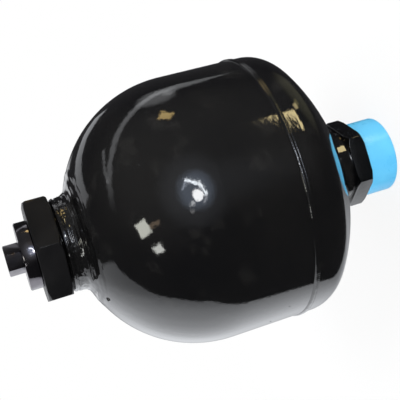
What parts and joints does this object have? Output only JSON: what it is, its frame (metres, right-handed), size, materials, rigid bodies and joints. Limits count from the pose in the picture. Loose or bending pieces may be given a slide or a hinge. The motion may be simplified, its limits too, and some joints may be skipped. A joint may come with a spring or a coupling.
{
  "type": "bladder accumulator",
  "caption": "Welded steel bladder accumulator for hydraulic oil: gas valve and hexagonal gland on the neck, hexagonal fluid port with a spring-loaded poppet under a plastic cap.",
  "frame": {"origin": "centre of the flat end of the fluid port's protective cap, on the vessel's axis", "axes": "+Z along the vessel's axis, from the fluid port up to the gas valve; +X through two corners of the fluid port's hexagon"},
  "size_m": [0.1704, 0.1704, 0.2534],
  "materials": {
    "shell_paint": "thick gloss black",
    "gland_paint": "satin black",
    "port_paint": "gloss black",
    "bright_plate": "bright plated",
    "plain_steel": "turned",
    "spring_steel": "drawn wire",
    "bronze": "turned",
    "brass": "turned",
    "nitrile": "matte",
    "backup_plastic": "matte",
    "blue_plastic": "soft gloss"
  },
  "bodies": {
    "vessel": {"shell_body": "shell_paint", "shell_end": "shell_paint", "weld_bead": "shell_paint", "gland": "gland_paint", "thrust_washer": "bronze", "bladder_stem": "plain_steel", "stem_seal": "nitrile", "stem_backup_ring": "backup_plastic", "bladder": "nitrile", "gas_valve_body": "bright_plate", "valve_body_seal": "nitrile", "valve_core": "brass", "valve_spring": "spring_steel", "fluid_port": "port_paint", "port_seal": "nitrile", "port_backup_ring": "backup_plastic", "guide_bush": "bronze", "poppet_spring": "spring_steel"},
    "cap": {"port_cap": "blue_plastic"},
    "poppet": {"poppet": "plain_steel", "poppet_nut": "plain_steel"},
    "valve_pin": {"valve_pin": "plain_steel", "valve_pin_seal": "nitrile"}
  },
  "joints": [
    {"name": "cap_pull", "type": "slide", "parent": "vessel", "child": "cap", "axis": [0, 0, -1], "range_m": [0, 0.08]},
    {"name": "poppet_slide", "type": "slide", "parent": "vessel", "child": "poppet", "axis": [0, 0, 1], "range_m": [-0.00595, 0], "stiffness_N_per_m": 1500, "springref_m": 0.003, "deforming": ["poppet_spring"]},
    {"name": "valve_pin_slide", "type": "slide", "parent": "vessel", "child": "valve_pin", "axis": [0, 0, 1], "range_m": [-0.0015, 0], "stiffness_N_per_m": 900, "springref_m": 0.001, "deforming": ["valve_spring"]}
  ]
}
